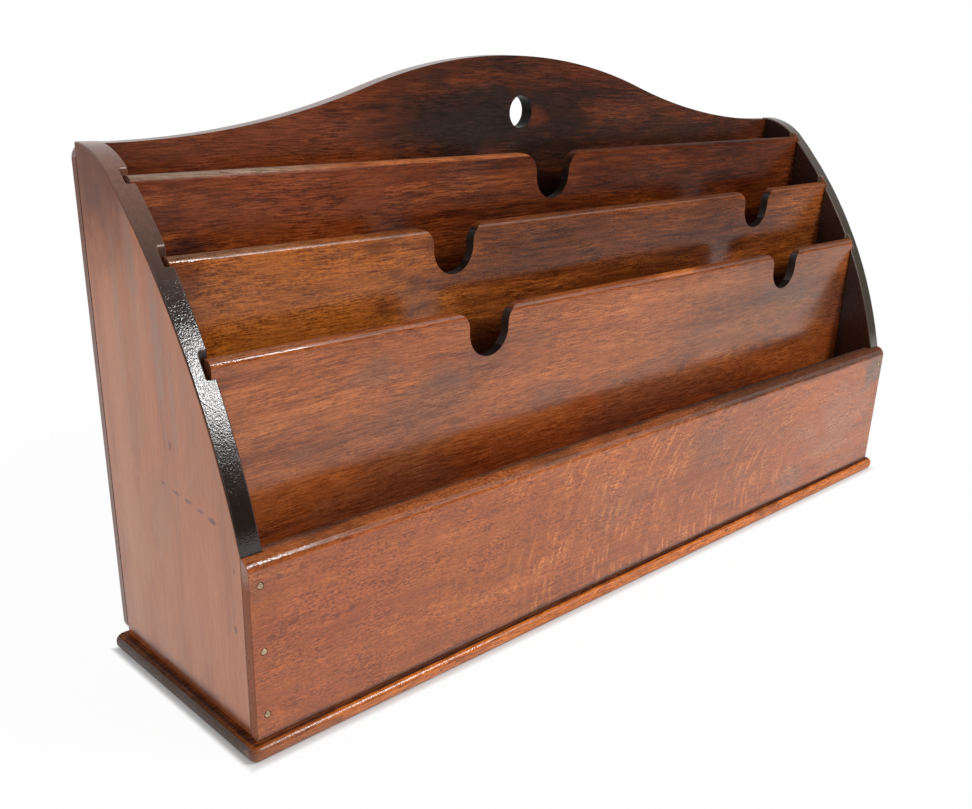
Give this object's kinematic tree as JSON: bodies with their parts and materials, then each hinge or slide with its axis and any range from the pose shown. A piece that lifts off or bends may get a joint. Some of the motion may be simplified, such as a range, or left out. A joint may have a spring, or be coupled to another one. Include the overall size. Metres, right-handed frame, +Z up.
{
  "type": "desktop letter rack",
  "caption": "Wooden desktop letter rack with swept ends, a serpentine back with a hanging hole, a low front board, a nosed base and notched dividers that lift out of grooves.",
  "frame": {"origin": "on the surface that the rack stands on, under the middle of the base board", "axes": "+X along the rack to the right as seen from the front, +Y to the back, +Z up"},
  "size_m": [0.408, 0.0954, 0.2134],
  "materials": {
    "base_wood": "french polished, orange brown",
    "end_wood": "french polished, red brown",
    "front_wood": "french polished, red brown with ray fleck",
    "back_wood": "french polished, dark and stained",
    "divider_wood": "french polished, golden brown",
    "pin_brass": "dull"
  },
  "bodies": {
    "carcase": {"base_board": "base_wood", "left_end": "end_wood", "right_end": "end_wood", "front_board": "front_wood", "back_board": "back_wood", "front_pins": "pin_brass", "back_pins": "pin_brass", "base_pins": "pin_brass"},
    "rear_divider": {"rear_divider": "divider_wood"},
    "middle_divider": {"middle_divider": "divider_wood"},
    "front_divider": {"front_divider": "divider_wood"}
  },
  "joints": [
    {"name": "rear_divider_lift", "type": "slide", "parent": "carcase", "child": "rear_divider", "axis": [0, 0, 1], "range_m": [0, 0.15]},
    {"name": "middle_divider_lift", "type": "slide", "parent": "carcase", "child": "middle_divider", "axis": [0, 0, 1], "range_m": [0, 0.13]},
    {"name": "front_divider_lift", "type": "slide", "parent": "carcase", "child": "front_divider", "axis": [0, 0, 1], "range_m": [0, 0.1]}
  ]
}
